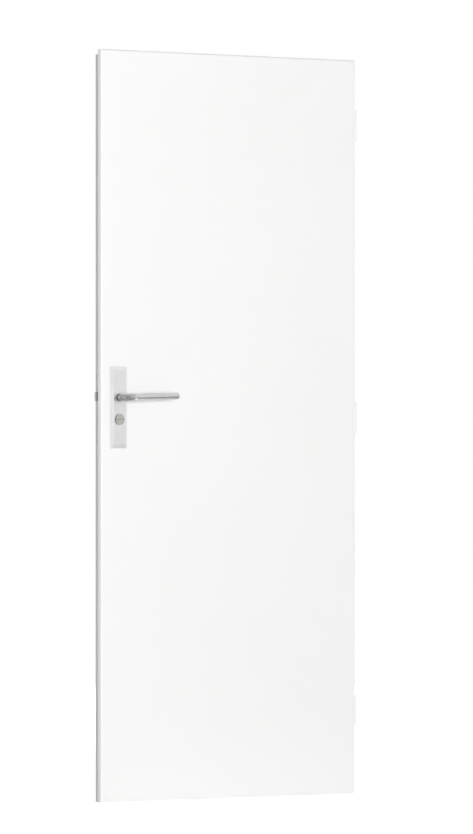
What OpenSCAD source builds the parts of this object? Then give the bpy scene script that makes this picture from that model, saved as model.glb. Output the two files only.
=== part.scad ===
// Rebated interior door leaf with flush faces, a lever handle set with a bathroom lock, and three
// hinges. The lip along the front of the leaf covers the door frame at the top and at both sides.
// The origin lies on the frame half of the lowest hinge, on the face that is screwed into the
// rebate of the door frame, at half the thickness of the leaf. X runs across the leaf towards the
// hinges, Z is up, and the front of the door, with the release disc, faces -Y. The leaf swings
// towards -Y.

/* [Door leaf] */
// Width of the leaf over its lips
leaf_w = 930; // [630:10:1030]
// Height of the leaf
leaf_h = 2015; // [1915:5:2315]
// Thickness of the leaf
leaf_t = 40; // [38:1:44]
// Width of the lip at the top and at both sides
lip_w = 13; // [11:0.5:15]
// Thickness of the lip
lip_t = 15; // [13:0.5:16]
// Thickness of each face sheet
skin_t = 3; // [2.5:0.5:4]
// Radius of the rounded front edge of the lip
lip_r = 6; // [2:0.5:8]
// Radius of the softened edge round the back face
arris_r = 1.5; // [0.5:0.5:2]
// Width of the stiles and rails inside the leaf, without the lip
stile_w = 38; // [36:1:50]
// Width of the block behind the lock stile that takes the lock
block_w = 60; // [55:5:100]
// Height of the lock block
block_h = 400; // [300:10:500]

/* [Hinges] */
// Height of the lowest hinge's centre above the foot of the leaf
low_hinge_up = 230; // [180:5:300]
// Distance of the highest hinge's centre from the top of the leaf
high_hinge_down = 180; // [140:5:250]
// Height of each hinge
hinge_h = 80; // [76:1:100]
// Thickness of a hinge's plate
hinge_t = 2.5; // [2:0.5:3]
// Width of a hinge's plate in the rebate of the door frame
hinge_w = 20; // [19:0.5:22]
// Gap between a hinge's plate and the edge of the leaf behind the lip
hinge_gap = 1; // [0.5:0.5:2]
// Gap between a hinge's plate and the back of the lip
lip_gap = 0.5; // [0.3:0.1:1]
// Radius of the hinge knuckles
knuckle_r = 5.5; // [5.5:0.5:7]
// Gap between a knuckle and the outer edge of the lip
knuckle_gap = 0.7; // [0.5:0.1:1.5]
// Radius of the hinge pins
pin_r = 3; // [2.5:0.5:3.5]
// Radius of the studs that hold a hinge in the leaf
stud_r = 3.5; // [3:0.5:4]
// Length of the studs in the leaf
stud_len = 42; // [36:1:46]

/* [Handle set] */
// Height of the lever's axis above the foot of the leaf
lever_up = 1083; // [1000:1:1150]
// Distance of the lever's axis from the lock's faceplate
backset = 46; // [40:1:60]
// Distance from the lever's axis down to the axis of the lock turn
turn_down = 58.5; // [55:0.5:78]
// Width of the backplates
plate_w = 60; // [52:1:64]
// Height of the backplates
plate_h = 220; // [200:1:250]
// Thickness of the backplates
plate_t = 6; // [5:0.5:9]
// Width of the bevel round a backplate
plate_bevel = 10.5; // [6:0.5:12]
// Distance from the lever's axis up to the top of a backplate
plate_up = 84; // [60:1:100]
// Radius of the lever's neck and grip
lever_r = 9.5; // [9:0.5:11]
// Distance from a face of the leaf to the middle of the grip
lever_out = 53; // [48:1:65]
// Radius of the lever's bend, along its middle
elbow_r = 18; // [14:1:24]
// Distance from the lever's axis to the tip of the grip
lever_len = 168; // [120:1:180]
// Angle of the grip above level, in degrees
lever_rise = 1.7; // [0:0.1:4]
// Radius of the release disc
disc_r = 15; // [11:0.5:16]
// Height of the release disc above the backplate
disc_t = 3.5; // [3:0.5:5]

/* [Lock] */
// Width of the faceplate in the lock edge
forend_w = 18; // [16:1:20]
// Height of the faceplate in the lock edge
forend_h = 195; // [180:5:235]
// Distance that the latch stands out
latch_out = 12.5; // [11:0.5:13]
// Height of the latch
latch_h = 24; // [20:1:28]
// Thickness of the latch
latch_t = 12; // [10:0.5:13]
// Radius of the latch's rounded corner
latch_r = 7; // [4:0.5:8]
// Height of the latch's middle above the lever's axis
latch_rise = 2.5; // [0:0.5:4]

/* [Hidden] */
$fn = 64;
past = 1;                    // how far a cutting shape runs past the surface that it cuts
fit = 0.3;                   // gap round a sliding or turning piece that no pin carries
run = 0.05;                  // radial gap of a shaft in its bore

face_y = leaf_t / 2;
core_y = face_y - skin_t;
lip_back_y = lip_t - face_y;
edge_y = (lip_back_y + face_y) / 2;   // middle of the leaf's edge behind the lip
body_w = leaf_w - 2 * lip_w;
body_h = leaf_h - lip_w;
frame_w = body_w - 2 * stile_w;

body_hinge_x = -hinge_t - hinge_gap;
lip_hinge_x = body_hinge_x + lip_w;
body_lock_x = body_hinge_x - body_w;
lip_lock_x = body_lock_x - lip_w;
foot_z = -low_hinge_up;
top_z = foot_z + leaf_h;
body_top_z = foot_z + body_h;

high_hinge_z = top_z - high_hinge_down;
middle_hinge_z = high_hinge_z / 2;
hinge_zs = [0, middle_hinge_z, high_hinge_z];
frame_face_y = lip_back_y + lip_gap + hinge_t;   // where the face of the door frame would be
knuckle_bite = 0.5;          // how far a knuckle is sunk into its plate
pin_x = lip_hinge_x + knuckle_gap + knuckle_r;
pin_y = lip_back_y + lip_gap + knuckle_bite - knuckle_r;
knuckle_h = hinge_h / 2;
knuckle_joint = 0.4;         // gap between a hinge's two knuckles
stud_dz = 22;                // distance between the two studs of a hinge
cap_h = 2.5;                 // height of the caps on a hinge pin
cap_edge = 0.8;
hinge_hole_r = 2.2;
hinge_head_r = 4.2;
hinge_sink = 1.5;
hinge_hole_dy = 10;
hinge_hole_dz = 60;

lever_x = body_lock_x + backset;
lever_z = foot_z + lever_up;
turn_z = lever_z - turn_down;
latch_z = lever_z + latch_rise;
plate_side = 1.5;            // height of the upright side below a backplate's bevel
plate_corner_r = 4;
plate_hole_r = 2.5;
plate_head_r = 4;
plate_sink = 2;
plate_hole_in = 22;          // distance of a backplate's screws from its top and foot
tip_r = 4;                   // rounding of the lever's tip
journal_r = 8;
spindle_w = 8;
spindle_in = 24;             // how far the lever's spindle reaches past a backplate's face
spindle_end_gap = 1;
turn_spindle_in = 1.5;       // how far the turn's spindle reaches past a backplate's face
turn_journal_r = 7;
slot_w = 2.6;
slot_d = 1.4;

forend_t = 3;
forend_mid_z = lever_z - turn_down / 2;
forend_hole_r = 2.2;
forend_head_r = 4;
forend_hole_in = 12;         // distance of the faceplate's screws from its ends
case_wall = 1.5;
case_t = latch_t + 2 * (fit + case_wall);
case_d = 74;
case_up = 45;                // how far the case reaches above the lever's axis
case_low = 40;               // how far the case reaches below the turn's axis
case_down = turn_down + case_low;
case_h = case_up + case_down;
case_end_gap = 2;            // room behind the case in its mortise
hub_r = 10;
turn_hub_r = 7.5;
lock_clear = 5;              // least distance between a bolt and its hub
bolt_h = 22;
bolt_t = 8;
bolt_len = backset - turn_hub_r - lock_clear;
latch_len = backset - hub_r - latch_out - lock_clear;
spindle_hole_r = 11;

white_paint = "#f4f4f2";
satin_metal = "#d9dadb";
dark_steel = "#9a9a96";
raw_wood = "#d8c3a0";

// Shapes shared by several pieces

// A strip as thick as the leaf, with its long side on y = 0, whose two outer corners are rounded.
module eased_strip(len, r) {
    translate([0, r]) square([len, leaf_t - r]);
    translate([r, 0]) square([len - 2 * r, leaf_t]);
    for (x = [r, len - r]) translate([x, r]) circle(r);
}

// What lies between an outer face on y = 0 and the inside, with rounded edges at both sides and at
// the top, and a straight foot on z = 0.
module eased_block(w, h, r) {
    intersection() {
        linear_extrude(h) eased_strip(w, r);
        translate([w, 0, -leaf_t]) rotate([0, -90, 0]) linear_extrude(w) eased_strip(h + leaf_t, r);
    }
}

// A face sheet of that outline.
module face_sheet(w, h, r) {
    intersection() {
        eased_block(w, h, r);
        cube([w, skin_t, h]);
    }
}

module leaf_outline() {
    translate([lip_lock_x, -face_y, foot_z]) eased_block(leaf_w, leaf_h, lip_r);
}

// A round bar along +Y that starts at y.
module bar_y(r, y, len) {
    translate([0, y, 0]) rotate([-90, 0, 0]) cylinder(r = r, h = len);
}

module square_hole(w, y, len) {
    translate([-w / 2, y, -w / 2]) cube([w, len, w]);
}

// The places of the lever's and the turn's axes, at half the thickness of the leaf.
module at_lever() { translate([lever_x, 0, lever_z]) children(); }
module at_turn() { translate([lever_x, 0, turn_z]) children(); }

// The mortise for the lock case, from the lock edge inwards.
module case_mortise() {
    translate([body_lock_x - past, edge_y - case_t / 2 - fit, lever_z - case_down - past])
        cube([past + forend_t + case_d + case_end_gap, case_t + 2 * fit, case_h + 2 * past]);
}

// The faceplate's outline as a plate that starts at x.
module forend_bar(x, len) {
    translate([x + len, edge_y, forend_mid_z]) rotate([90, 0, -90]) linear_extrude(len) {
        for (s = [-1, 1]) translate([0, s * (forend_h - forend_w) / 2]) circle(forend_w / 2);
        square([forend_w, forend_h - forend_w], center = true);
    }
}

module forend_recess() {
    forend_bar(body_lock_x - past, forend_t + past);
}

// The holes through the leaf for the lever's and the turn's spindles.
module spindle_holes() {
    at_lever() bar_y(spindle_hole_r, -face_y - past, leaf_t + 2 * past);
    at_turn() bar_y(spindle_hole_r, -face_y - past, leaf_t + 2 * past);
}

// The places of the two studs of each hinge, from the knuckle into the leaf.
module at_studs(z) {
    for (s = [-1, 1]) translate([0, pin_y, z + knuckle_h / 2 + s * stud_dz / 2]) children();
}

// Leaf

module front_skin() color(white_paint) {
    difference() {
        translate([lip_lock_x, -face_y, foot_z]) face_sheet(leaf_w, leaf_h, lip_r);
        spindle_holes();
    }
}

module back_skin() color(white_paint) {
    difference() {
        translate([body_lock_x, face_y, foot_z]) mirror([0, 1, 0]) face_sheet(body_w, body_h, arris_r);
        spindle_holes();
        forend_recess();
        case_mortise();
    }
}

// A stile with its lip, whose body starts at x and whose lip starts at lip_x.
module stile(x, lip_x) {
    translate([x, -core_y, foot_z]) cube([stile_w, 2 * core_y, body_h]);
    intersection() {
        translate([lip_x, -core_y, foot_z]) cube([stile_w + lip_w, core_y + lip_back_y, leaf_h]);
        leaf_outline();
    }
}

module lock_stile() color(raw_wood) {
    difference() {
        stile(body_lock_x, lip_lock_x);
        case_mortise();
        forend_recess();
        spindle_holes();
    }
}

module hinge_stile() color(raw_wood) {
    inner_x = body_hinge_x - stile_w;
    difference() {
        stile(inner_x, inner_x);
        for (z = hinge_zs) at_studs(z) translate([lip_hinge_x - stud_len - fit, 0, 0])
            rotate([0, 90, 0]) cylinder(r = stud_r + run, h = stud_len + fit + past);
    }
}

module top_rail() color(raw_wood) {
    low = body_top_z - stile_w;
    translate([body_lock_x + stile_w, -core_y, low]) cube([frame_w, 2 * core_y, stile_w]);
    intersection() {
        translate([body_lock_x + stile_w, -core_y, low])
            cube([frame_w, core_y + lip_back_y, stile_w + lip_w]);
        leaf_outline();
    }
}

module bottom_rail() color(raw_wood) {
    translate([body_lock_x + stile_w, -core_y, foot_z]) cube([frame_w, 2 * core_y, stile_w]);
}

module lock_block() color(raw_wood) {
    difference() {
        translate([body_lock_x + stile_w, -core_y, forend_mid_z - block_h / 2])
            cube([block_w, 2 * core_y, block_h]);
        case_mortise();
        spindle_holes();
    }
}

// Lock

module latch_window(x, len) {
    translate([x, edge_y - latch_t / 2 - fit, latch_z - latch_h / 2 - fit])
        cube([len, latch_t + 2 * fit, latch_h + 2 * fit]);
}

module bolt_window(x, len) {
    translate([x, edge_y - bolt_t / 2 - fit, turn_z - bolt_h / 2 - fit])
        cube([len, bolt_t + 2 * fit, bolt_h + 2 * fit]);
}

module lock_faceplate() color(satin_metal) {
    difference() {
        forend_bar(body_lock_x, forend_t);
        latch_window(body_lock_x - past, forend_t + 2 * past);
        bolt_window(body_lock_x - past, forend_t + 2 * past);
        for (s = [-1, 1])
            translate([body_lock_x, edge_y, forend_mid_z + s * (forend_h / 2 - forend_hole_in)])
                rotate([0, 90, 0]) {
                    cylinder(r1 = forend_head_r, r2 = forend_hole_r, h = forend_head_r - forend_hole_r);
                    cylinder(r = forend_hole_r, h = forend_t + past);
                }
    }
}

module lock_case() color(dark_steel) {
    case_x = body_lock_x + forend_t;
    case_z = lever_z - case_down;
    difference() {
        translate([case_x, edge_y - case_t / 2, case_z]) cube([case_d, case_t, case_h]);
        translate([case_x + case_wall, edge_y - case_t / 2 + case_wall, case_z + case_wall])
            cube([case_d - 2 * case_wall, case_t - 2 * case_wall, case_h - 2 * case_wall]);
        latch_window(case_x - past, case_wall + 2 * past);
        bolt_window(case_x - past, case_wall + 2 * past);
        at_lever() bar_y(hub_r + run, edge_y - case_t, 2 * case_t);
        at_turn() bar_y(turn_hub_r + run, edge_y - case_t, 2 * case_t);
    }
}

// The latch is rounded on the side that meets the frame first when the door closes.
module latch() color(dark_steel) {
    nose_x = latch_r - latch_out;
    flat_t = latch_t - latch_r;
    translate([body_lock_x, edge_y - latch_t / 2, latch_z - latch_h / 2]) {
        translate([nose_x, 0, 0]) cube([latch_len - nose_x, latch_t, latch_h]);
        translate([-latch_out, 0, 0]) cube([latch_r, flat_t, latch_h]);
        intersection() {
            translate([-latch_out, flat_t, 0]) cube([latch_r + past, latch_r, latch_h]);
            translate([nose_x, flat_t, 0]) cylinder(r = latch_r, h = latch_h);
        }
    }
}

module dead_bolt() color(dark_steel) {
    translate([body_lock_x, edge_y - bolt_t / 2, turn_z - bolt_h / 2]) cube([bolt_len, bolt_t, bolt_h]);
}

module follower() color(dark_steel) {
    at_lever() difference() {
        bar_y(hub_r, edge_y - case_t / 2, case_t);
        square_hole(spindle_w, edge_y - case_t, 2 * case_t);
    }
}

module turn_hub() color(dark_steel) {
    at_turn() difference() {
        bar_y(turn_hub_r, edge_y - case_t / 2, case_t);
        square_hole(spindle_w, edge_y - case_t, 2 * case_t);
    }
}

// Handle set, drawn for the front with its seat on y = 0 and the room side towards -Y

module plate_outline() {
    low = plate_up - plate_h;
    for (x = [-1, 1], z = [low + plate_corner_r, plate_up - plate_corner_r])
        translate([x * (plate_w / 2 - plate_corner_r), z]) circle(plate_corner_r);
    translate([-plate_w / 2, low + plate_corner_r]) square([plate_w, plate_h - 2 * plate_corner_r]);
    translate([-plate_w / 2 + plate_corner_r, low]) square([plate_w - 2 * plate_corner_r, plate_h]);
}

module bevel_section(len) {
    polygon([
        [0, 0], [len, 0], [len, -plate_side], [len - plate_bevel, -plate_t],
        [plate_bevel, -plate_t], [0, -plate_side]
    ]);
}

module backplate() {
    low = plate_up - plate_h;
    difference() {
        intersection() {
            rotate([90, 0, 0]) linear_extrude(plate_t) plate_outline();
            translate([-plate_w / 2, 0, low]) linear_extrude(plate_h) bevel_section(plate_w);
            translate([-plate_w / 2, 0, low]) rotate([90, 0, 90])
                linear_extrude(plate_w) rotate(90) mirror([0, 1]) bevel_section(plate_h);
        }
        bar_y(journal_r + run, -plate_t - past, plate_t + 2 * past);
        translate([0, 0, -turn_down]) bar_y(turn_journal_r + run, -plate_t - past, plate_t + 2 * past);
    }
}

// A backplate with the two countersunk holes of its fixing screws.
module screwed_backplate() {
    difference() {
        backplate();
        for (z = [plate_up - plate_hole_in, plate_up - plate_h + plate_hole_in]) translate([0, 0, z]) {
            bar_y(plate_hole_r, -plate_t - past, plate_t + 2 * past);
            translate([0, -plate_t, 0]) rotate([-90, 0, 0])
                cylinder(r1 = plate_head_r, r2 = plate_hole_r, h = plate_sink);
        }
    }
}

// A straight round bar along +X from x = 0, with a rounded tip.
module grip(len) {
    rotate([0, 90, 0]) rotate_extrude() {
        square([lever_r, len - tip_r]);
        square([lever_r - tip_r, len]);
        translate([lever_r - tip_r, len - tip_r]) circle(tip_r);
    }
}

module lever() {
    neck_len = lever_out - plate_t - fit - elbow_r;
    difference() {
        union() {
            bar_y(journal_r, -plate_t - fit - past, plate_t + fit + past);
            rotate([0, -lever_rise, 0]) {
                bar_y(lever_r, -plate_t - fit - neck_len, neck_len);
                translate([elbow_r, -lever_out + elbow_r, 0]) rotate(180)
                    rotate_extrude(angle = 90) translate([elbow_r, 0]) circle(lever_r);
                translate([elbow_r, -lever_out, 0]) grip(lever_len - elbow_r);
            }
        }
        square_hole(spindle_w, -plate_t - spindle_in, plate_t + spindle_in + past);
    }
}

module front_plate() color(satin_metal) at_lever() translate([0, -face_y, 0]) backplate();
module back_plate() color(satin_metal)
    at_lever() translate([0, face_y, 0]) mirror([0, 1, 0]) screwed_backplate();
module front_lever() color(satin_metal) at_lever() translate([0, -face_y, 0]) lever();
module back_lever() color(satin_metal) at_lever() translate([0, face_y, 0]) mirror([0, 1, 0]) lever();

module lever_spindle() color(dark_steel) {
    reach = face_y + plate_t + spindle_in - spindle_end_gap;
    at_lever() square_hole(spindle_w, -reach, 2 * reach);
}

module release_disc() color(dark_steel) {
    at_turn() translate([0, -face_y - plate_t - fit, 0]) difference() {
        union() {
            bar_y(disc_r, -disc_t, disc_t);
            bar_y(turn_journal_r, 0, plate_t + fit);
        }
        square_hole(spindle_w, -turn_spindle_in, plate_t + fit + turn_spindle_in + past);
        translate([-disc_r - past, -disc_t - past, -slot_w / 2])
            cube([2 * (disc_r + past), slot_d + past, slot_w]);
    }
}

module thumb_turn() color(satin_metal) {
    neck = 8;
    knob_w = 9;
    knob_h = 34;
    knob_t = 16;
    at_turn() translate([0, face_y + plate_t + fit, 0]) difference() {
        union() {
            bar_y(disc_r, 0, disc_t);
            bar_y(turn_journal_r, -plate_t - fit, plate_t + fit + neck);
            translate([-knob_w / 2, disc_t, -knob_h / 2 + knob_w / 2]) cube([knob_w, knob_t, knob_h - knob_w]);
            for (s = [-1, 1]) translate([0, 0, s * (knob_h - knob_w) / 2]) bar_y(knob_w / 2, disc_t, knob_t);
        }
        square_hole(spindle_w, -plate_t - fit - past, plate_t + fit + past + turn_spindle_in);
    }
}

module turn_spindle() color(dark_steel) {
    reach = face_y + plate_t + fit + turn_spindle_in;
    at_turn() square_hole(spindle_w, -reach, 2 * reach);
}

// Hinges

// The frame leaf: a plate in the rebate of the door frame that turns out behind the lip, over the
// lower half of its height, to the knuckle beside the lip.
module frame_leaf(z) color(satin_metal) {
    low = z - hinge_h / 2;
    back_y = edge_y + hinge_w / 2;
    turned_h = knuckle_h - knuckle_joint / 2;
    difference() {
        union() {
            translate([-hinge_t, frame_face_y, low]) cube([hinge_t, back_y - frame_face_y, hinge_h]);
            translate([-hinge_t, frame_face_y - hinge_t, low]) cube([hinge_t, 2 * hinge_t, turned_h]);
            translate([-hinge_t, frame_face_y - hinge_t, low]) cube([pin_x + hinge_t, hinge_t, turned_h]);
            translate([pin_x - knuckle_r, pin_y, low]) cube([knuckle_r, frame_face_y - pin_y, turned_h]);
            translate([pin_x, pin_y, low]) cylinder(r = knuckle_r, h = turned_h);
        }
        translate([pin_x, pin_y, low - past]) cylinder(r = pin_r + run, h = hinge_h);
        for (dy = [-1, 1], dz = [-1, 1])
            translate([-hinge_t, edge_y + dy * hinge_hole_dy / 2, z + dz * hinge_hole_dz / 2])
                rotate([0, 90, 0]) {
                    cylinder(r1 = hinge_head_r, r2 = hinge_hole_r, h = hinge_sink);
                    cylinder(r = hinge_hole_r, h = hinge_t + past);
                }
    }
}

// The door leaf: the upper knuckle with two studs that are screwed into the leaf through its lip.
module door_leaf(z) color(satin_metal) {
    difference() {
        union() {
            translate([pin_x, pin_y, z + knuckle_joint / 2])
                cylinder(r = knuckle_r, h = knuckle_h - knuckle_joint / 2);
            at_studs(z) translate([lip_hinge_x - stud_len, 0, 0])
                rotate([0, 90, 0]) cylinder(r = stud_r, h = pin_x - lip_hinge_x + stud_len);
        }
        translate([pin_x, pin_y, z - past]) cylinder(r = pin_r + run, h = hinge_h);
    }
}

module hinge_pin(z) color(satin_metal) {
    translate([pin_x, pin_y, z]) {
        cylinder(r = pin_r, h = hinge_h, center = true);
        for (end = [0, 1]) mirror([0, 0, end]) translate([0, 0, hinge_h / 2]) {
            cylinder(r = knuckle_r, h = cap_h - cap_edge);
            translate([0, 0, cap_h - cap_edge])
                cylinder(r1 = knuckle_r, r2 = knuckle_r - cap_edge, h = cap_edge);
        }
    }
}

module low_hinge_frame_leaf() frame_leaf(0);
module middle_hinge_frame_leaf() frame_leaf(middle_hinge_z);
module high_hinge_frame_leaf() frame_leaf(high_hinge_z);
module low_hinge_door_leaf() door_leaf(0);
module middle_hinge_door_leaf() door_leaf(middle_hinge_z);
module high_hinge_door_leaf() door_leaf(high_hinge_z);
module low_hinge_pin() hinge_pin(0);
module middle_hinge_pin() hinge_pin(middle_hinge_z);
module high_hinge_pin() hinge_pin(high_hinge_z);

front_skin();
back_skin();
lock_stile();
hinge_stile();
top_rail();
bottom_rail();
lock_block();
lock_faceplate();
lock_case();
latch();
dead_bolt();
follower();
turn_hub();
front_plate();
back_plate();
front_lever();
back_lever();
lever_spindle();
release_disc();
thumb_turn();
turn_spindle();
low_hinge_frame_leaf();
middle_hinge_frame_leaf();
high_hinge_frame_leaf();
low_hinge_door_leaf();
middle_hinge_door_leaf();
high_hinge_door_leaf();
low_hinge_pin();
middle_hinge_pin();
high_hinge_pin();
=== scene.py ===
"""Finishes, screws and a plain studio for the interior door."""

import math

import bmesh
import bpy
from bpy.props import FloatProperty, FloatVectorProperty, IntProperty, PointerProperty
from mathutils import Matrix, Vector


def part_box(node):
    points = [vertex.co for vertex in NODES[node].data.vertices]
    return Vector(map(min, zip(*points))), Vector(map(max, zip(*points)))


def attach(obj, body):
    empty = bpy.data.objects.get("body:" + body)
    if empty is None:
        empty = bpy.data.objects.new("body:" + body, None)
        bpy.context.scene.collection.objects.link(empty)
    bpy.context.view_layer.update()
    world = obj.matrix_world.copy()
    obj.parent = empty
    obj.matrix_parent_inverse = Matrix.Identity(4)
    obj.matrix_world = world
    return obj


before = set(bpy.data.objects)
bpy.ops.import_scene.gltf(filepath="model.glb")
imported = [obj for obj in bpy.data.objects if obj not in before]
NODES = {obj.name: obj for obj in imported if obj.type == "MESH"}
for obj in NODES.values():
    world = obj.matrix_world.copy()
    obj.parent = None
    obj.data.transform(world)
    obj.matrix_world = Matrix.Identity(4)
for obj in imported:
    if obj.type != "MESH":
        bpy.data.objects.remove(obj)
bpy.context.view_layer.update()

bl_info = {
    "name": "Interior Door",
    "version": (1, 0, 0),
    "blender": (4, 5, 0),
    "location": "View3D > Sidebar > Door",
    "description": "Finishes, screws and a plain studio for an interior door leaf",
    "category": "Object",
}

MM = 0.001
DOWN = (0.0, 0.0, -1.0)

FRONT_LOW, FRONT_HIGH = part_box("front_skin")
LOCK_LOW, LOCK_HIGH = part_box("lock_stile")
HINGE_LOW, HINGE_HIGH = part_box("hinge_stile")
LEAF_LOW = Vector((LOCK_LOW.x, FRONT_LOW.y, FRONT_LOW.z))
LEAF_HIGH = Vector((HINGE_HIGH.x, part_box("back_skin")[1].y, HINGE_HIGH.z))
LEAF_MIDDLE = Vector(((LEAF_LOW.x + LEAF_HIGH.x) / 2, 0, (LEAF_LOW.z + LEAF_HIGH.z) / 2))

FACEPLATE_LOW, FACEPLATE_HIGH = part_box("lock_faceplate")
EDGE_Y = (FACEPLATE_LOW.y + FACEPLATE_HIGH.y) / 2
SCREW_SUNK = 0.15 * MM
SPINDLE_LOW, SPINDLE_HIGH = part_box("lever_spindle")
TURN_LOW, TURN_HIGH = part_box("turn_spindle")
PLATE_LOW, PLATE_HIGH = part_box("back_plate")
DISC_LOW, DISC_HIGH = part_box("release_disc")

LEAF_SKINS = ("front_skin", "back_skin")
EDGED = ("lock_stile", "hinge_stile", "top_rail")
BARE = ("bottom_rail", "lock_block")
PLATES = ("front_plate", "back_plate")
LEVERS = ("front_lever", "back_lever")
HINGE_PLACES = ("low", "middle", "high")


# Sizes and colours

class DoorSizes(bpy.types.PropertyGroup):
    """Sizes of the small pieces and of the softened edges"""

    steel_edge: FloatProperty(
        name="Steel edge", description="Width of the softened edges of plates and bolts",
        default=0.6 * MM, unit="LENGTH")
    thin_edge: FloatProperty(
        name="Thin steel edge", description="Width of the softened edges of hinge plates and faceplate",
        default=0.3 * MM, unit="LENGTH")
    screw_head: FloatProperty(
        name="Screw head", description="Radius of the head of a countersunk screw",
        default=3.9 * MM, unit="LENGTH")
    hole_across: FloatProperty(
        name="Hinge holes across", description="Distance between a hinge's screw holes across its plate",
        default=10 * MM, unit="LENGTH")
    hole_along: FloatProperty(
        name="Hinge holes along", description="Distance between a hinge's screw holes along its plate",
        default=60 * MM, unit="LENGTH")
    faceplate_screws: FloatProperty(
        name="Faceplate screws", description="Distance from the faceplate's middle to each of its screws",
        default=85.5 * MM, unit="LENGTH")
    plate_screw_up: FloatProperty(
        name="Upper plate screw", description="Height of the backplate's upper screw over the lever",
        default=62 * MM, unit="LENGTH")
    plate_screw_down: FloatProperty(
        name="Lower plate screw", description="Depth of the backplate's lower screw under the lever",
        default=114 * MM, unit="LENGTH")
    ring_width: FloatProperty(
        name="Bearing ring", description="Width and height of the dark ring round a lever's neck",
        default=1.2 * MM, unit="LENGTH")
    neck_radius: FloatProperty(
        name="Neck radius", description="Radius of the lever's neck", default=9.5 * MM, unit="LENGTH")
    screw_segments: IntProperty(
        name="Screw segments", description="Number of sides of a screw's head", default=32)


class DoorColours(bpy.types.PropertyGroup):
    """Colours of the finishes"""

    lacquer: FloatVectorProperty(
        name="Lacquer", description="White lacquer of the leaf", subtype="COLOR",
        default=(0.88, 0.88, 0.875))
    board: FloatVectorProperty(
        name="Board", description="Bare edge of the wood-fibre sheets", subtype="COLOR",
        default=(0.33, 0.21, 0.12))
    softwood_light: FloatVectorProperty(
        name="Softwood", description="Early wood of the stiles and rails", subtype="COLOR",
        default=(0.70, 0.52, 0.32))
    softwood_dark: FloatVectorProperty(
        name="Softwood grain", description="Late wood of the stiles and rails", subtype="COLOR",
        default=(0.48, 0.29, 0.14))
    aluminium: FloatVectorProperty(
        name="Aluminium", description="Satin aluminium of the backplates", subtype="COLOR",
        default=(0.82, 0.82, 0.83))
    lever_metal: FloatVectorProperty(
        name="Lever", description="Polished aluminium of the levers", subtype="COLOR",
        default=(0.63, 0.63, 0.64))
    steel: FloatVectorProperty(
        name="Stainless steel", description="Satin steel of faceplate and screws", subtype="COLOR",
        default=(0.72, 0.72, 0.715))
    nickel: FloatVectorProperty(
        name="Nickel", description="Plated disc and thumb turn", subtype="COLOR",
        default=(0.51, 0.515, 0.485))
    bolt: FloatVectorProperty(
        name="Bolt", description="Bright plating of latch and dead bolt", subtype="COLOR",
        default=(0.68, 0.675, 0.65))
    ring: FloatVectorProperty(
        name="Ring", description="Dark plastic of the bearing rings", subtype="COLOR",
        default=(0.09, 0.09, 0.095))
    zinc: FloatVectorProperty(
        name="Zinc", description="Plated lock case and spindles", subtype="COLOR",
        default=(0.52, 0.53, 0.54))


# Node helpers

def add(tree, kind, **values):
    """A new node of a tree, with inputs set by socket name and other values as attributes."""
    node = tree.nodes.new(kind)
    for name, value in values.items():
        socket = node.inputs.get(name.replace("_", " "))
        if socket is not None:
            socket.default_value = value
        else:
            setattr(node, name, value)
    return node


def group(name, inputs, output_names):
    """A shader node group with float or vector inputs, and its input and output nodes."""
    tree = bpy.data.node_groups.new(name, "ShaderNodeTree")
    for socket, value in inputs.items():
        kind = "NodeSocketVector" if isinstance(value, tuple) else "NodeSocketFloat"
        item = tree.interface.new_socket(socket, in_out="INPUT", socket_type=kind)
        item.default_value = value
    for socket in output_names:
        tree.interface.new_socket(socket, in_out="OUTPUT", socket_type="NodeSocketFloat")
    return tree, tree.nodes.new("NodeGroupInput"), tree.nodes.new("NodeGroupOutput")


def make_brushed():
    """Fine lines of a brushed metal: uneven gloss and a height, stretched by the Stretch input."""
    tree, inside, outside = group(
        "Brushed lines",
        {"Vector": (0.0, 0.0, 0.0), "Stretch": (1.0, 1.0, 1.0), "Gloss low": 0.2, "Gloss high": 0.4},
        ("Roughness", "Height"))
    scaled = add(tree, "ShaderNodeVectorMath", operation="MULTIPLY")
    lines = add(tree, "ShaderNodeTexNoise", Scale=1.0, Detail=4.0, Roughness=0.6)
    spread = add(tree, "ShaderNodeMapRange")
    tree.links.new(inside.outputs["Vector"], scaled.inputs[0])
    tree.links.new(inside.outputs["Stretch"], scaled.inputs[1])
    tree.links.new(scaled.outputs[0], lines.inputs["Vector"])
    tree.links.new(lines.outputs["Fac"], spread.inputs["Value"])
    tree.links.new(inside.outputs["Gloss low"], spread.inputs["To Min"])
    tree.links.new(inside.outputs["Gloss high"], spread.inputs["To Max"])
    tree.links.new(spread.outputs["Result"], outside.inputs["Roughness"])
    tree.links.new(lines.outputs["Fac"], outside.inputs["Height"])
    return tree


def make_cloudy():
    """Soft patches from Low to High, such as the faint unevenness of a sprayed or handled surface."""
    tree, inside, outside = group(
        "Soft patches", {"Vector": (0.0, 0.0, 0.0), "Scale": 3.0, "Low": 0.9, "High": 1.0}, ("Value",))
    patches = add(tree, "ShaderNodeTexNoise", Detail=3.0, Roughness=0.5)
    spread = add(tree, "ShaderNodeMapRange")
    spread.inputs["From Min"].default_value = 0.3
    spread.inputs["From Max"].default_value = 0.7
    tree.links.new(inside.outputs["Vector"], patches.inputs["Vector"])
    tree.links.new(inside.outputs["Scale"], patches.inputs["Scale"])
    tree.links.new(patches.outputs["Fac"], spread.inputs["Value"])
    tree.links.new(inside.outputs["Low"], spread.inputs["To Min"])
    tree.links.new(inside.outputs["High"], spread.inputs["To Max"])
    tree.links.new(spread.outputs["Result"], outside.inputs["Value"])
    return tree


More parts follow.
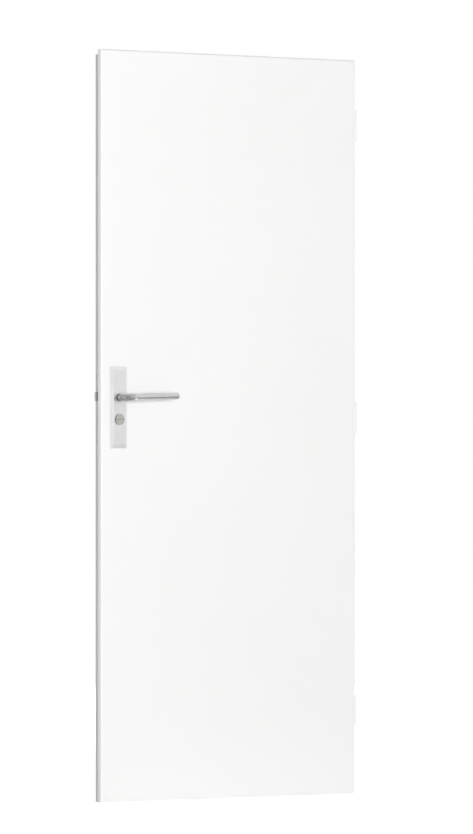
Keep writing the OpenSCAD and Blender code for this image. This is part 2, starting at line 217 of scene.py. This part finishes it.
def make_facing():
    """1 where a face looks along the Axis input, and 0 elsewhere."""
    tree, inside, outside = group(
        "Facing", {"Axis": (0.0, 0.0, 1.0), "From": 0.9}, ("Value",))
    geometry = add(tree, "ShaderNodeNewGeometry")
    turned = add(tree, "ShaderNodeVectorTransform", vector_type="NORMAL", convert_from="WORLD", convert_to="OBJECT")
    along = add(tree, "ShaderNodeVectorMath", operation="DOT_PRODUCT")
    past = add(tree, "ShaderNodeMath", operation="GREATER_THAN")
    tree.links.new(geometry.outputs["Normal"], turned.inputs[0])
    tree.links.new(turned.outputs[0], along.inputs[0])
    tree.links.new(inside.outputs["Axis"], along.inputs[1])
    tree.links.new(along.outputs["Value"], past.inputs[0])
    tree.links.new(inside.outputs["From"], past.inputs[1])
    tree.links.new(past.outputs[0], outside.inputs["Value"])
    return tree


SHARED = {}


def shared(name):
    """A node group that several finishes use, made on its first use."""
    makers = {"brushed": make_brushed, "cloudy": make_cloudy, "facing": make_facing}
    if name not in SHARED:
        SHARED[name] = makers[name]()
    return SHARED[name]


def place_group(tree, name, vector=None, **values):
    node = tree.nodes.new("ShaderNodeGroup")
    node.node_tree = shared(name)
    for socket, value in values.items():
        node.inputs[socket.replace("_", " ")].default_value = value
    if vector is not None:
        tree.links.new(vector, node.inputs["Vector"])
    return node


def new_finish(name):
    """A material with a Principled BSDF, and its tree, shader and object coordinates."""
    material = bpy.data.materials.new(name)
    material.use_nodes = True
    tree = material.node_tree
    shader = tree.nodes["Principled BSDF"]
    place = add(tree, "ShaderNodeTexCoord").outputs["Object"]
    return material, tree, shader, place


def bump(tree, shader, height, strength, distance):
    node = add(tree, "ShaderNodeBump", Strength=strength, Distance=distance)
    tree.links.new(height, node.inputs["Height"])
    tree.links.new(node.outputs["Normal"], shader.inputs["Normal"])


def tinted(tree, colour, amount):
    """A colour multiplied by a value that changes over the surface."""
    node = add(tree, "ShaderNodeMix", data_type="RGBA", blend_type="MULTIPLY")
    node.inputs["Factor"].default_value = 1.0
    node.inputs["A"].default_value = (*colour, 1.0)
    tree.links.new(amount, node.inputs["B"])
    return node.outputs["Result"]


def mixed(tree, factor, first, second):
    node = add(tree, "ShaderNodeMix", data_type="RGBA")
    tree.links.new(factor, node.inputs["Factor"])
    for value, socket in ((first, node.inputs["A"]), (second, node.inputs["B"])):
        if isinstance(value, bpy.types.NodeSocket):
            tree.links.new(value, socket)
        else:
            socket.default_value = (*value, 1.0)
    return node.outputs["Result"]


# Finishes

def lacquer_finish(colours):
    """White lacquer on smooth board, with bare board where the sheet's foot is cut."""
    material, tree, shader, place = new_finish("White lacquer")
    patches = place_group(tree, "cloudy", place, Scale=1.7, Low=0.985, High=1.0)
    cut = place_group(tree, "facing", Axis=DOWN, From=0.98)
    white = tinted(tree, colours.lacquer, patches.outputs["Value"])
    fibres = add(tree, "ShaderNodeTexNoise", Scale=1400.0, Detail=3.0)
    tree.links.new(place, fibres.inputs["Vector"])
    board = tinted(tree, [1.5 * c for c in colours.board], fibres.outputs["Fac"])
    tree.links.new(mixed(tree, cut.outputs["Value"], white, board), shader.inputs["Base Color"])
    gloss = place_group(tree, "cloudy", place, Scale=9.0, Low=0.36, High=0.42)
    tree.links.new(gloss.outputs["Value"], shader.inputs["Roughness"])
    peel = add(tree, "ShaderNodeTexNoise", Scale=420.0, Detail=2.0, Roughness=0.45)
    tree.links.new(place, peel.inputs["Vector"])
    bump(tree, shader, peel.outputs["Fac"], 0.25, 0.05 * MM)
    return material


def softwood(tree, place, colours, along):
    """Colour and height of planed softwood whose grain runs along an axis."""
    stretch = {"x": (3.0, 60.0, 60.0), "z": (60.0, 60.0, 3.0), "end": (55.0, 55.0, 3.0)}[along]
    mapping = add(tree, "ShaderNodeMapping", Scale=stretch)
    tree.links.new(place, mapping.inputs["Vector"])
    warp = add(tree, "ShaderNodeTexNoise", Scale=0.8, Detail=2.0)
    tree.links.new(mapping.outputs["Vector"], warp.inputs["Vector"])
    rings = add(tree, "ShaderNodeTexWave", wave_type="RINGS", Scale=1.6, Distortion=4.0, Detail=2.0)
    tree.links.new(mapping.outputs["Vector"], rings.inputs["Vector"])
    both = add(tree, "ShaderNodeMath", operation="MULTIPLY")
    tree.links.new(rings.outputs["Fac"], both.inputs[0])
    tree.links.new(warp.outputs["Fac"], both.inputs[1])
    return mixed(tree, both.outputs[0], colours.softwood_light, colours.softwood_dark), both.outputs[0]


def stile_finish(colours):
    """Lacquer on the long edges of the leaf, bare end grain at its foot."""
    material, tree, shader, place = new_finish("Lacquered stile")
    patches = place_group(tree, "cloudy", place, Scale=2.3, Low=0.98, High=1.0)
    ends = place_group(tree, "facing", Axis=DOWN, From=0.9)
    wood, rings = softwood(tree, place, colours, "end")
    white = tinted(tree, colours.lacquer, patches.outputs["Value"])
    tree.links.new(mixed(tree, ends.outputs["Value"], white, wood), shader.inputs["Base Color"])
    gloss = add(tree, "ShaderNodeMapRange")
    gloss.inputs["To Min"].default_value = 0.4
    gloss.inputs["To Max"].default_value = 0.75
    tree.links.new(ends.outputs["Value"], gloss.inputs["Value"])
    tree.links.new(gloss.outputs["Result"], shader.inputs["Roughness"])
    peel = add(tree, "ShaderNodeTexNoise", Scale=420.0, Detail=2.0, Roughness=0.45)
    tree.links.new(place, peel.inputs["Vector"])
    bump(tree, shader, peel.outputs["Fac"], 0.25, 0.05 * MM)
    return material


def wood_finish(colours):
    """Bare planed softwood of the rails and the lock block."""
    material, tree, shader, place = new_finish("Bare softwood")
    wood, grain = softwood(tree, place, colours, "x")
    tree.links.new(wood, shader.inputs["Base Color"])
    gloss = place_group(tree, "cloudy", place, Scale=30.0, Low=0.6, High=0.75)
    tree.links.new(gloss.outputs["Value"], shader.inputs["Roughness"])
    bump(tree, shader, grain, 0.3, 0.1 * MM)
    return material


def painted_neck_shade(tree, place):
    """Painted shade: less colour on a lever's neck, standing in for the darker surroundings that the neck mirrors.
    """
    parts = add(tree, "ShaderNodeSeparateXYZ")
    tree.links.new(place, parts.inputs[0])
    # The neck keeps 0.74 of its colour as painted shade, fading back to full colour between 2 and 9 mm past the
    # spindle.
    painted_neck_fade = add(tree, "ShaderNodeMapRange")
    painted_neck_fade.inputs["From Min"].default_value = SPINDLE_HIGH.x + 2 * MM
    painted_neck_fade.inputs["From Max"].default_value = SPINDLE_HIGH.x + 9 * MM
    painted_neck_fade.inputs["To Min"].default_value = 0.74
    tree.links.new(parts.outputs["X"], painted_neck_fade.inputs["Value"])
    return painted_neck_fade.outputs["Result"]


def painted_slot_shade(tree, place):
    """Painted shade down in the coin slot of the release disc: less colour there."""
    parts = add(tree, "ShaderNodeSeparateXYZ")
    tree.links.new(place, parts.inputs[0])
    off_line = add(tree, "ShaderNodeMath", operation="SUBTRACT")
    off_line.inputs[1].default_value = (TURN_LOW.z + TURN_HIGH.z) / 2
    tree.links.new(parts.outputs["Z"], off_line.inputs[0])
    beside = add(tree, "ShaderNodeMath", operation="ABSOLUTE")
    tree.links.new(off_line.outputs[0], beside.inputs[0])
    in_line = add(tree, "ShaderNodeMath", operation="LESS_THAN")
    in_line.inputs[1].default_value = SLOT_HALF
    tree.links.new(beside.outputs[0], in_line.inputs[0])
    deep = add(tree, "ShaderNodeMath", operation="GREATER_THAN")
    deep.inputs[1].default_value = DISC_LOW.y + SLOT_START
    tree.links.new(parts.outputs["Y"], deep.inputs[0])
    both = add(tree, "ShaderNodeMath", operation="MULTIPLY")
    tree.links.new(in_line.outputs[0], both.inputs[0])
    tree.links.new(deep.outputs[0], both.inputs[1])
    # The slot's floor keeps 0.7 of the disc's colour as painted shade.
    painted_slot_level = add(tree, "ShaderNodeMapRange")
    painted_slot_level.inputs["To Min"].default_value = 1.0
    painted_slot_level.inputs["To Max"].default_value = 0.7
    tree.links.new(both.outputs[0], painted_slot_level.inputs["Value"])
    return painted_slot_level.outputs["Result"]


def metal_finish(name, colour, stretch, gloss, line_height=0.3, painted_shade=None):
    """Brushed or plated metal whose fine lines are stretched over the given scales per metre; a given shade
    function multiplies painted shade into its colour.
    """
    material, tree, shader, place = new_finish(name)
    shader.inputs["Metallic"].default_value = 1.0
    lines = place_group(tree, "brushed", place, Stretch=stretch, Gloss_low=gloss[0], Gloss_high=gloss[1])
    handled = place_group(tree, "cloudy", place, Scale=28.0, Low=0.95, High=1.0)
    amount = handled.outputs["Value"]
    # Painted shade from the given function darkens part of the colour.
    if painted_shade:
        together = add(tree, "ShaderNodeMath", operation="MULTIPLY")
        tree.links.new(amount, together.inputs[0])
        tree.links.new(painted_shade(tree, place), together.inputs[1])
        amount = together.outputs[0]
    tree.links.new(tinted(tree, colour, amount), shader.inputs["Base Color"])
    tree.links.new(lines.outputs["Roughness"], shader.inputs["Roughness"])
    bump(tree, shader, lines.outputs["Height"], line_height, 0.01 * MM)
    return material


def white_metal_finish(colours):
    """White lacquer on the steel of the hinges."""
    material, tree, shader, place = new_finish("White lacquered steel")
    patches = place_group(tree, "cloudy", place, Scale=25.0, Low=0.97, High=1.0)
    tree.links.new(tinted(tree, colours.lacquer, patches.outputs["Value"]), shader.inputs["Base Color"])
    gloss = place_group(tree, "cloudy", place, Scale=60.0, Low=0.28, High=0.36)
    tree.links.new(gloss.outputs["Value"], shader.inputs["Roughness"])
    return material


def ring_finish(colours):
    """Dark plastic of the bearing rings, whose dark colour also stands in for the shade at the root of each lever's
    neck.
    """
    material, tree, shader, place = new_finish("Dark plastic")
    shader.inputs["Base Color"].default_value = (*colours.ring, 1.0)
    gloss = place_group(tree, "cloudy", place, Scale=200.0, Low=0.4, High=0.55)
    tree.links.new(gloss.outputs["Value"], shader.inputs["Roughness"])
    return material


FINISHES = {}
# Bounds of the painted shade in the disc's coin slot: half its width, and how far behind the disc's face it starts.
SLOT_HALF = 1.35 * MM
SLOT_START = 0.2 * MM
LENGTHWISE_X = (40.0, 3500.0, 3500.0)
LENGTHWISE_Z = (3500.0, 3500.0, 40.0)
EVEN = (900.0, 900.0, 900.0)


def finish(name):
    """One of the finishes by name, made on its first use."""
    if name in FINISHES:
        return FINISHES[name]
    colours = bpy.context.scene.door_colours
    makers = {
        "lacquer": lambda: lacquer_finish(colours),
        "stile": lambda: stile_finish(colours),
        "wood": lambda: wood_finish(colours),
        "plate": lambda: metal_finish("Satin aluminium plate", colours.aluminium, LENGTHWISE_Z, (0.28, 0.36)),
        # The lever's neck and the disc's coin slot get painted shade in their colour.
        "lever": lambda: metal_finish(
            "Polished aluminium lever", colours.lever_metal, LENGTHWISE_X, (0.16, 0.24), painted_shade=painted_neck_shade),
        "faceplate": lambda: metal_finish("Satin steel faceplate", colours.steel, LENGTHWISE_Z, (0.26, 0.36)),
        "white_metal": lambda: white_metal_finish(colours),
        "nickel": lambda: metal_finish("Plated nickel", colours.nickel, EVEN, (0.24, 0.34), 0.2),
        "disc": lambda: metal_finish(
            "Plated nickel disc", colours.nickel, EVEN, (0.24, 0.34), 0.2, painted_shade=painted_slot_shade),
        "bolt": lambda: metal_finish("Bright plated bolt", colours.bolt, EVEN, (0.24, 0.34), 0.2),
        "ring": lambda: ring_finish(colours),
        "zinc": lambda: metal_finish("Zinc plate", colours.zinc, EVEN, (0.34, 0.46), 0.2),
        "screw": lambda: metal_finish("Screw steel", colours.steel, EVEN, (0.22, 0.3), 0.15),
        # Painted shade: the screws' cross recesses get the same steel at 0.3 of its colour.
        "recess": lambda: metal_finish("Screw recess painted shade", [0.3 * c for c in colours.steel], EVEN, (0.4, 0.5), 0.1),
    }
    FINISHES[name] = makers[name]()
    return FINISHES[name]


def dress(names, finish_name, edge=0.0):
    """Gives CAD nodes a finish, smooth round faces, and softened edges of a width."""
    for name in names:
        node = NODES[name]
        node.data.materials.clear()
        node.data.materials.append(finish(finish_name))
        if edge:
            weld = node.modifiers.new("Join", "WELD")
            weld.merge_threshold = 0.001 * MM
            soften = node.modifiers.new("Soft edges", "BEVEL")
            soften.width = edge
            soften.segments = 2
            soften.limit_method = "ANGLE"
            soften.angle_limit = math.radians(25)
            soften.harden_normals = True


# Small pieces

def finish_piece(name, bm, finish_names, body, smooth=False):
    """Turns a bmesh into a piece that rides on a body; a face's material index picks its finish."""
    bmesh.ops.recalc_face_normals(bm, faces=bm.faces)
    mesh = bpy.data.meshes.new(name)
    bm.to_mesh(mesh)
    bm.free()
    piece = bpy.data.objects.new(name, mesh)
    bpy.context.scene.collection.objects.link(piece)
    for finish_name in finish_names:
        mesh.materials.append(finish(finish_name))
    if smooth:
        mesh.shade_smooth()
        mesh.set_sharp_from_angle(angle=math.radians(32))
    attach(piece, body)
    return piece


def looking(direction, at):
    """A placing matrix that carries +Z to a direction and the origin to a point."""
    return Matrix.Translation(at) @ direction.to_track_quat("Z", "Y").to_matrix().to_4x4()


def cut_cross(bm, face, arm, width, depth):
    """Sinks a cross-shaped recess into a flat face at z = 0."""
    region = {face}
    for axis in (0, 1):
        for offset in (-arm, -width / 2, width / 2, arm):
            normal = Vector((0, 0, 0))
            normal[axis] = 1
            faces = list(region)
            edges = {e for f in faces for e in f.edges}
            corners = {v for f in faces for v in f.verts}
            cut = bmesh.ops.bisect_plane(
                bm, geom=[*faces, *edges, *corners], plane_co=normal * offset, plane_no=normal)
            region = {g for g in cut["geom"] if isinstance(g, bmesh.types.BMFace)}

    def inside(f):
        x, y = (abs(c) for c in f.calc_center_median().xy)
        return (x < width / 2 and y < arm) or (y < width / 2 and x < arm)

    chosen = [f for f in region if inside(f)]
    sunk = bmesh.ops.extrude_face_region(bm, geom=chosen)
    bmesh.ops.delete(bm, geom=chosen, context="FACES_ONLY")
    floor = [g for g in sunk["geom"] if isinstance(g, bmesh.types.BMVert)]
    bmesh.ops.translate(bm, verts=floor, vec=(0, 0, -depth))
    bmesh.ops.scale(bm, verts=floor, vec=(0.7, 0.7, 1.0))


def add_cross_screw(bm, place, head_r, shank_r, head_depth, shank, segments):
    """A countersunk screw: its head's top is on the place's origin, its shank runs towards -Z."""
    screw = bmesh.new()
    bmesh.ops.create_cone(
        screw, cap_ends=True, segments=segments, radius1=shank_r, radius2=head_r, depth=head_depth,
        matrix=Matrix.Translation((0, 0, -head_depth / 2)))
    low = min(screw.faces, key=lambda f: f.calc_center_median().z)
    drawn = bmesh.ops.extrude_face_region(screw, geom=[low])
    bmesh.ops.delete(screw, geom=[low], context="FACES_ONLY")
    bmesh.ops.translate(
        screw, verts=[g for g in drawn["geom"] if isinstance(g, bmesh.types.BMVert)], vec=(0, 0, -shank))
    rim = [e for e in screw.edges if all(abs(v.co.z) < 1e-7 for v in e.verts)]
    bmesh.ops.bevel(
        screw, geom=rim, offset=head_r * 0.07, segments=2, profile=0.5, affect="EDGES", material=-1)
    top = max(screw.faces, key=lambda f: (round(f.normal.z, 3), f.calc_area()))
    arm = head_r * 0.6
    cut_cross(screw, top, arm, head_r * 0.24, head_depth * 0.75)
    # Faces down in the cross recess take the second finish, the recess's painted shade.
    for face in screw.faces:
        centre = face.calc_center_median()
        if -head_depth < centre.z < -1e-6 and centre.xy.length < arm:
            face.material_index = 1
    bmesh.ops.transform(screw, matrix=place, verts=screw.verts)
    copy_into(bm, screw)


def copy_into(bm, other):
    """Adds another bmesh's shape to a bmesh, and frees the other."""
    mesh = bpy.data.meshes.new("part")
    other.to_mesh(mesh)
    other.free()
    bm.from_mesh(mesh)
    bpy.data.meshes.remove(mesh)


def add_ring(bm, place, inner, width, segments):
    """A flat ring with a bevelled outer rim: its seat is on the place's origin, it rises along +Z."""
    ring = bmesh.new()
    outside = bmesh.ops.create_circle(ring, segments=segments, radius=inner + width)["verts"]
    outer_edges = list({e for v in outside for e in v.link_edges})
    inside = bmesh.ops.create_circle(ring, segments=segments, radius=inner)["verts"]
    inner_edges = list({e for v in inside for e in v.link_edges})
    bmesh.ops.bridge_loops(ring, edges=outer_edges + inner_edges)
    raised = bmesh.ops.extrude_face_region(ring, geom=ring.faces[:], use_keep_orig=True)
    top = [g for g in raised["geom"] if isinstance(g, bmesh.types.BMVert)]
    bmesh.ops.translate(ring, verts=top, vec=(0, 0, width))
    rim = [g for g in raised["geom"] if isinstance(g, bmesh.types.BMEdge)
           and all(v.co.xy.length > inner + width / 2 for v in g.verts)]
    bmesh.ops.bevel(
        ring, geom=rim, offset=width * 0.3, segments=2, profile=0.5, affect="EDGES", material=-1)
    bmesh.ops.transform(ring, matrix=place, verts=ring.verts)
    copy_into(bm, ring)


# Operators

class DOOR_OT_leaf(bpy.types.Operator):
    """Finish the two faces, the stiles, the rails and the lock block of the leaf"""

    bl_idname = "door.leaf"
    bl_label = "Leaf"

    def execute(self, context):
        dress(LEAF_SKINS, "lacquer")
        dress(EDGED, "stile")
        dress(BARE, "wood")
        return {"FINISHED"}


class DOOR_OT_handle_set(bpy.types.Operator):
    """Finish the backplates, the levers, their spindle, the release disc and the thumb turn"""

    bl_idname = "door.handle_set"
    bl_label = "Handle set"

    def execute(self, context):
        sizes = context.scene.door_sizes
        dress(PLATES, "plate", sizes.steel_edge)
        dress(LEVERS, "lever")
        dress(("lever_spindle", "turn_spindle"), "zinc")
        dress(("release_disc",), "disc", sizes.thin_edge)
        dress(("thumb_turn",), "nickel")
        axis_x = (SPINDLE_LOW.x + SPINDLE_HIGH.x) / 2
        axis_z = (SPINDLE_LOW.z + SPINDLE_HIGH.z) / 2
        # Dark bearing rings round each neck: a plausible part, and also painted shade at the neck's root.
        rings = bmesh.new()
        for side in (-1, 1):
            add_ring(
                rings, looking(Vector((0, side, 0)), Vector((axis_x, side * PLATE_HIGH.y, axis_z))),
                sizes.neck_radius + 0.1 * MM, sizes.ring_width, 2 * sizes.screw_segments)
        finish_piece("bearing_rings", rings, ("ring",), "door", smooth=True)
        screws = bmesh.new()
        for height in (sizes.plate_screw_up, -sizes.plate_screw_down):
            add_cross_screw(
                screws, looking(Vector((0, 1, 0)), Vector((axis_x, PLATE_HIGH.y - SCREW_SUNK, axis_z + height))),
                sizes.screw_head, 2.2 * MM, 1.8 * MM, 0.9 * MM, sizes.screw_segments)
        finish_piece("plate_screws", screws, ("screw", "recess"), "door")
        return {"FINISHED"}


class DOOR_OT_lock(bpy.types.Operator):
    """Finish the lock: faceplate, case, latch, dead bolt and hubs"""

    bl_idname = "door.lock"
    bl_label = "Lock"

    def execute(self, context):
        sizes = context.scene.door_sizes
        dress(("lock_faceplate",), "faceplate", sizes.thin_edge)
        dress(("latch", "dead_bolt"), "bolt", sizes.steel_edge)
        dress(("lock_case", "follower", "turn_hub"), "zinc")
        screws = bmesh.new()
        middle = (FACEPLATE_LOW.z + FACEPLATE_HIGH.z) / 2
        for height in (-sizes.faceplate_screws, sizes.faceplate_screws):
            at = Vector((FACEPLATE_LOW.x + SCREW_SUNK, EDGE_Y, middle + height))
            add_cross_screw(
                screws, looking(Vector((-1, 0, 0)), at), sizes.screw_head * 0.95, 2.0 * MM,
                1.6 * MM, 0.8 * MM, sizes.screw_segments)
        finish_piece("faceplate_screws", screws, ("screw", "recess"), "door")
        return {"FINISHED"}


class DOOR_OT_hinges(bpy.types.Operator):
    """Finish the hinges and put the screws in their frame leaves"""

    bl_idname = "door.hinges"
    bl_label = "Hinges"

    def execute(self, context):
        sizes = context.scene.door_sizes
        for place in HINGE_PLACES:
            for part in ("frame_leaf", "door_leaf", "pin"):
                dress((f"{place}_hinge_{part}",), "white_metal")
        bm = bmesh.new()
        for place in HINGE_PLACES:
            low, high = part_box(f"{place}_hinge_frame_leaf")
            middle = (low.z + high.z) / 2
            for across in (-1, 1):
                for along in (-1, 1):
                    at = Vector((
                        low.x + SCREW_SUNK, EDGE_Y + across * sizes.hole_across / 2,
                        middle + along * sizes.hole_along / 2))
                    add_cross_screw(
                        bm, looking(Vector((-1, 0, 0)), at), sizes.screw_head, 2.0 * MM,
                        1.5 * MM, 0.7 * MM, sizes.screw_segments)
        finish_piece("hinge_screws", bm, ("screw", "recess"), "hinge_frame_leaves")
        return {"FINISHED"}


class DOOR_OT_studio(bpy.types.Operator):
    """Set up the floor, the lamps, the white surroundings and the camera"""

    bl_idname = "door.studio"
    bl_label = "Studio"

    def execute(self, context):
        make_floor()
        make_world(context.scene)
        make_lamps()
        make_cards()
        make_camera(context.scene)
        return {"FINISHED"}


# Studio

FLOOR_GAP = 4 * MM
FLOOR_SIDE = 60.0
FLOOR_GLOW = 0.68
AMBIENT = 0.43
FRONT_POWER = 800.0
BACK_POWER = 640.0
FRONT_LAMP = Vector((-5.16, -9.71, 0.35))
BACK_LAMP = Vector((4.47, 10.05, 1.6))
LAMP_SIDE = 2.4
LOW_CARD_TONE = 0.48
LEFT_CARD_TONE = 0.6
CAMERA_FROM_CORNER = Vector((-14.5213, -16.4653, 0.9007))
CAMERA_YAW = math.radians(42.3512)
CAMERA_PITCH = math.radians(0.33935)
CAMERA_LENS = 354.5054


def seen_directly(tree):
    """1 for rays from the camera, and for those that a shiny or clear surface sends on."""
    path = add(tree, "ShaderNodeLightPath")
    first = add(tree, "ShaderNodeMath", operation="MAXIMUM")
    tree.links.new(path.outputs["Is Camera Ray"], first.inputs[0])
    tree.links.new(path.outputs["Is Glossy Ray"], first.inputs[1])
    second = add(tree, "ShaderNodeMath", operation="MAXIMUM")
    tree.links.new(first.outputs[0], second.inputs[0])
    tree.links.new(path.outputs["Is Transmission Ray"], second.inputs[1])
    return second.outputs[0]


def make_floor():
    bm = bmesh.new()
    bmesh.ops.create_grid(bm, x_segments=1, y_segments=1, size=FLOOR_SIDE / 2)
    bmesh.ops.translate(bm, verts=bm.verts, vec=(LEAF_MIDDLE.x, 0, LEAF_LOW.z - FLOOR_GAP))
    mesh = bpy.data.meshes.new("floor")
    bm.to_mesh(mesh)
    bm.free()
    floor = bpy.data.objects.new("floor", mesh)
    bpy.context.scene.collection.objects.link(floor)
    material = bpy.data.materials.new("White floor")
    material.use_nodes = True
    tree = material.node_tree
    tree.nodes.clear()
    matt = add(tree, "ShaderNodeBsdfDiffuse", Color=(0.8, 0.8, 0.8, 1.0))
    glow = add(tree, "ShaderNodeEmission")
    level = add(tree, "ShaderNodeMath", operation="MULTIPLY")
    level.inputs[1].default_value = FLOOR_GLOW
    tree.links.new(seen_directly(tree), level.inputs[0])
    tree.links.new(level.outputs[0], glow.inputs["Strength"])
    both = add(tree, "ShaderNodeAddShader")
    tree.links.new(matt.outputs[0], both.inputs[0])
    tree.links.new(glow.outputs[0], both.inputs[1])
    out = add(tree, "ShaderNodeOutputMaterial")
    tree.links.new(both.outputs[0], out.inputs["Surface"])
    mesh.materials.append(material)


def make_world(scene):
    world = bpy.data.worlds.new("Studio")
    world.use_nodes = True
    scene.world = world
    tree = world.node_tree
    background = tree.nodes["Background"]
    background.inputs["Color"].default_value = (1.0, 1.0, 1.0, 1.0)
    level = add(tree, "ShaderNodeMapRange")
    level.inputs["To Min"].default_value = AMBIENT
    level.inputs["To Max"].default_value = 1.0
    tree.links.new(seen_directly(tree), level.inputs["Value"])
    tree.links.new(level.outputs["Result"], background.inputs["Strength"])


def add_lamp(name, place, aim, side, power):
    """A soft square lamp that lights the object and isn't mirrored in its metal."""
    light = bpy.data.lights.new(name, "AREA")
    light.shape = "SQUARE"
    light.size = side
    light.energy = power
    lamp = bpy.data.objects.new(name, light)
    bpy.context.scene.collection.objects.link(lamp)
    lamp.matrix_world = looking(place - aim, place)
    lamp.visible_glossy = False


def make_lamps():
    add_lamp("front_lamp", LEAF_MIDDLE + FRONT_LAMP, LEAF_MIDDLE, LAMP_SIDE, FRONT_POWER)
    add_lamp("back_lamp", LEAF_MIDDLE + BACK_LAMP, LEAF_MIDDLE, LAMP_SIDE, BACK_POWER)


def add_card(name, place, facing, width, height, tone):
    """A grey card that only shiny surfaces show, as they would a darker part of a studio."""
    bm = bmesh.new()
    bmesh.ops.create_grid(bm, x_segments=1, y_segments=1, size=0.5)
    bmesh.ops.scale(bm, verts=bm.verts, vec=(width, height, 1.0))
    bmesh.ops.transform(bm, verts=bm.verts, matrix=looking(facing, place))
    mesh = bpy.data.meshes.new(name)
    bm.to_mesh(mesh)
    bm.free()
    card = bpy.data.objects.new(name, mesh)
    bpy.context.scene.collection.objects.link(card)
    card.visible_camera = False
    card.visible_diffuse = False
    card.visible_shadow = False
    card.visible_transmission = False
    material = bpy.data.materials.new(name)
    material.use_nodes = True
    tree = material.node_tree
    tree.nodes.clear()
    grey = add(tree, "ShaderNodeEmission", Color=(tone, tone, tone, 1.0))
    out = add(tree, "ShaderNodeOutputMaterial")
    tree.links.new(grey.outputs[0], out.inputs["Surface"])
    mesh.materials.append(material)


def make_cards():
    floor = LEAF_LOW.z - FLOOR_GAP / 2
    add_card(
        "right_low_card", Vector((LEAF_MIDDLE.x + 4.75, 0.0, floor)), Vector((0, 0, 1)), 8.0, 16.0, LOW_CARD_TONE)
    add_card(
        "left_low_card", Vector((LEAF_MIDDLE.x - 3.3, 0.0, floor)), Vector((0, 0, 1)), 6.0, 16.0, LEFT_CARD_TONE)
    add_card(
        "left_card", Vector((LEAF_MIDDLE.x - 2.9, 1.75, floor + 2.1)), Vector((1, 0, 0)), 8.5, 4.2, LEFT_CARD_TONE)


def make_camera(scene):
    camera = bpy.data.objects.new("camera", bpy.data.cameras.new("camera"))
    scene.collection.objects.link(camera)
    camera.data.lens = CAMERA_LENS
    camera.data.clip_end = 200.0
    forward = Vector((
        math.sin(CAMERA_YAW) * math.cos(CAMERA_PITCH),
        math.cos(CAMERA_YAW) * math.cos(CAMERA_PITCH),
        math.sin(CAMERA_PITCH)))
    camera.location = LEAF_LOW + CAMERA_FROM_CORNER
    camera.rotation_euler = forward.to_track_quat("-Z", "Y").to_euler()
    scene.camera = camera
    scene.view_settings.view_transform = "Standard"


# Panel and registration

OPERATORS = (DOOR_OT_leaf, DOOR_OT_handle_set, DOOR_OT_lock, DOOR_OT_hinges, DOOR_OT_studio)


class DOOR_PT_panel(bpy.types.Panel):
    """Lists the steps that finish the door"""

    bl_idname = "DOOR_PT_panel"
    bl_label = "Interior door"
    bl_space_type = "VIEW_3D"
    bl_region_type = "UI"
    bl_category = "Door"

    def draw(self, context):
        for operator in OPERATORS:
            self.layout.operator(operator.bl_idname)
        for settings in (context.scene.door_sizes, context.scene.door_colours):
            box = self.layout.box()
            for name in settings.__annotations__:
                box.prop(settings, name)


CLASSES = (DoorSizes, DoorColours, *OPERATORS, DOOR_PT_panel)


def register():
    for item in CLASSES:
        bpy.utils.register_class(item)
    bpy.types.Scene.door_sizes = PointerProperty(type=DoorSizes)
    bpy.types.Scene.door_colours = PointerProperty(type=DoorColours)


def unregister():
    del bpy.types.Scene.door_colours
    del bpy.types.Scene.door_sizes
    for item in reversed(CLASSES):
        bpy.utils.unregister_class(item)


def main():
    register()
    bpy.ops.door.leaf()
    bpy.ops.door.handle_set()
    bpy.ops.door.lock()
    bpy.ops.door.hinges()
    bpy.ops.door.studio()


if __name__ == "__main__":
    main()
